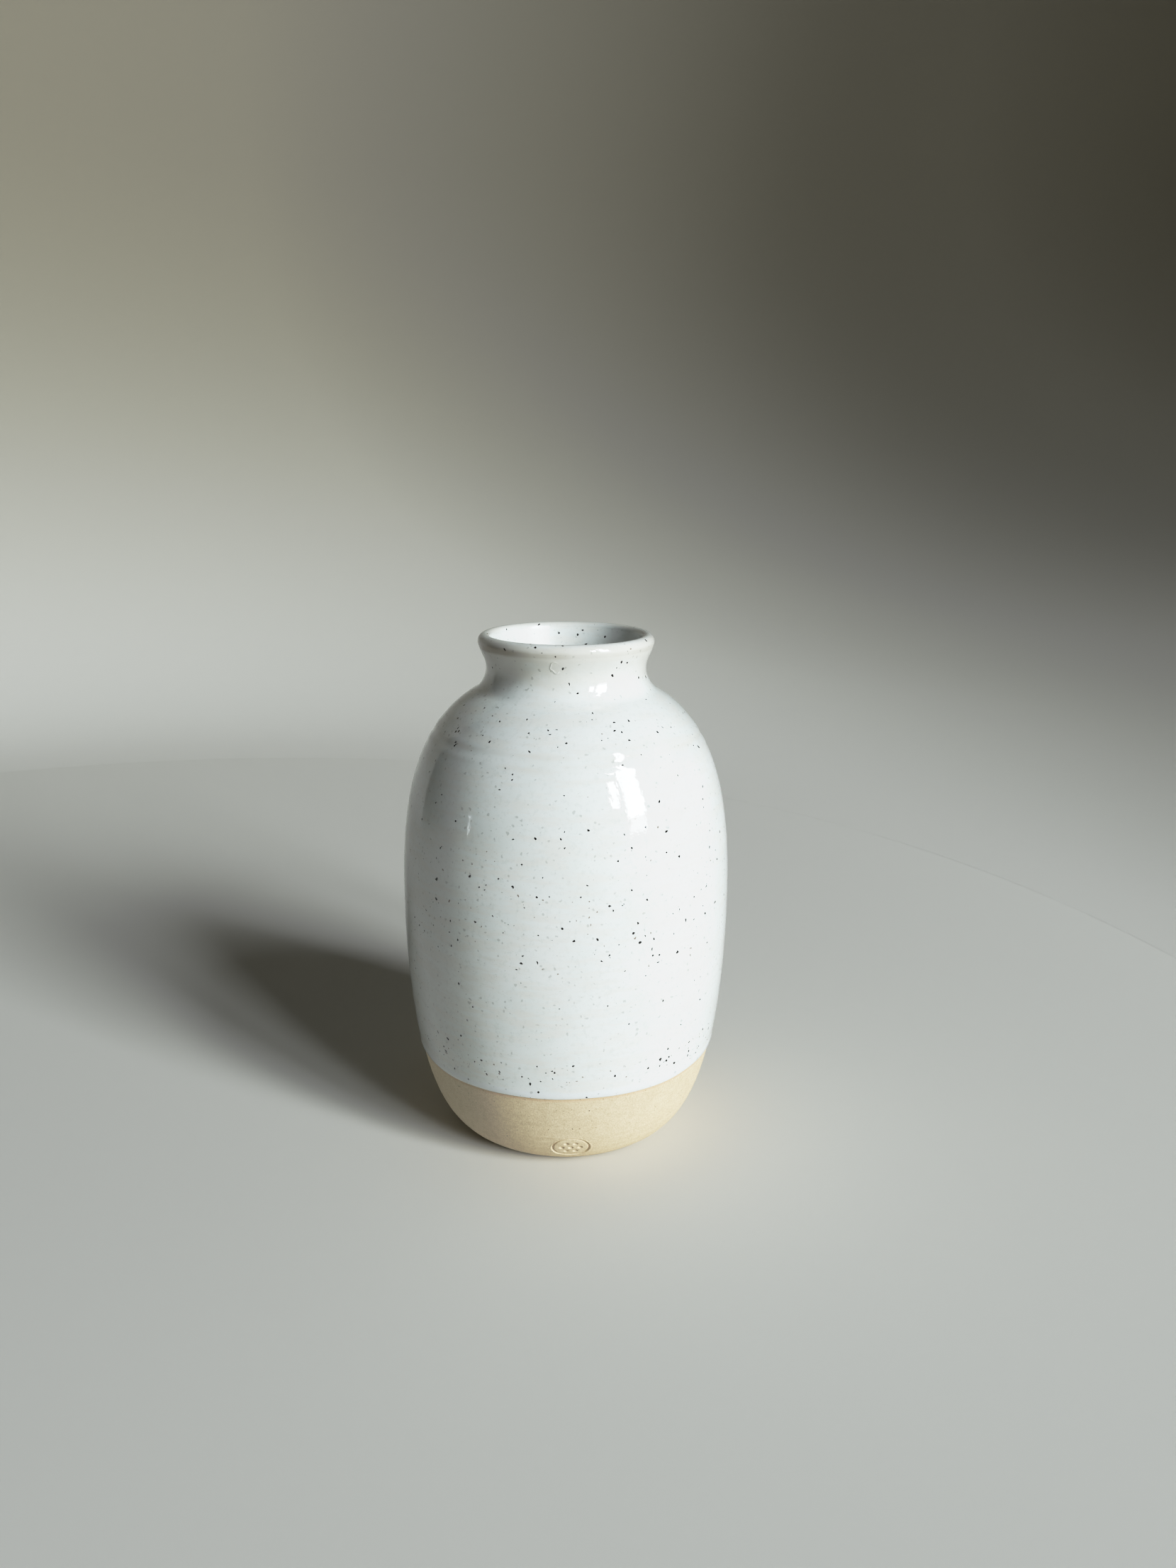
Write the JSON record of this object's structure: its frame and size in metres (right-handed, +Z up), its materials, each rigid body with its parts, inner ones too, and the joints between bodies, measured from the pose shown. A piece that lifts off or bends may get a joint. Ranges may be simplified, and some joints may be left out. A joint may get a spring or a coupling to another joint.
{
  "type": "bud vase",
  "caption": "Small round-shouldered stoneware vase with a narrow neck, a flared mouth, white glaze inside and out, and a bare clay foot.",
  "frame": {"origin": "middle of the foot, on the plane that the vase stands on", "axes": "+Z up along the vase's axis, -Y towards the side that carries the potter's seal, +X to the right of someone facing that side"},
  "size_m": [0.08, 0.08, 0.1238],
  "materials": {
    "bare_stoneware": "unglazed, fine-grained and matt",
    "white_glaze": "glossy white with dark iron specks"
  },
  "bodies": {
    "root": {"stoneware_body": "bare_stoneware", "outside_glaze": "white_glaze", "liner_glaze": "white_glaze"}
  },
  "joints": []
}
